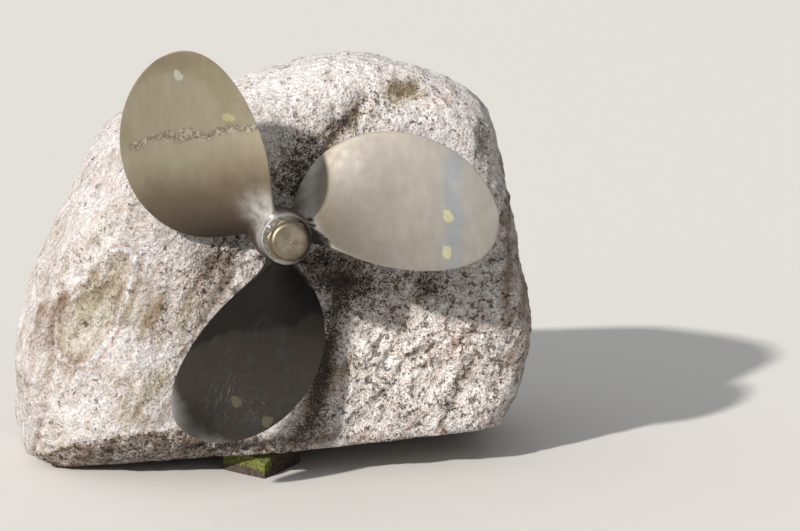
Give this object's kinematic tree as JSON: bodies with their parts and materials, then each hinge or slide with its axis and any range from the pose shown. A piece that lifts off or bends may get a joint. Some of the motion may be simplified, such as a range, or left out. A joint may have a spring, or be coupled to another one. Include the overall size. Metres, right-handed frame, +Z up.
{
  "type": "ship propeller",
  "caption": "Bladed bronze ship propeller clamped by a closed hexagon nut on a stub shaft that stands in the face of a granite boulder, propped in front on a small packing block.",
  "frame": {"origin": "middle of the bounding box in plan, on the surface the boulder stands on", "axes": "+Z up, -Y towards the side the propeller is seen from, +X to the right as seen from there; the shaft's axis lies in a plane of constant X and tips up 5 degrees towards -Y"},
  "size_m": [1.1631, 0.9099, 0.9499],
  "materials": {
    "propeller_bronze": "weathered bronze with a brown-grey patina",
    "nut_bronze": "worn bronze",
    "washer_steel": "dull stainless steel",
    "screw_steel": "bright stainless steel",
    "shaft_steel": "turned steel",
    "granite": "rough natural face",
    "packing_stone": "rough, mossy"
  },
  "bodies": {
    "root": {"propeller_casting": "propeller_bronze", "propeller_nut": "nut_bronze", "tab_washer": "washer_steel", "locking_screw": "screw_steel", "shaft_stub": "shaft_steel", "boulder": "granite", "packing_block": "packing_stone"}
  },
  "joints": []
}
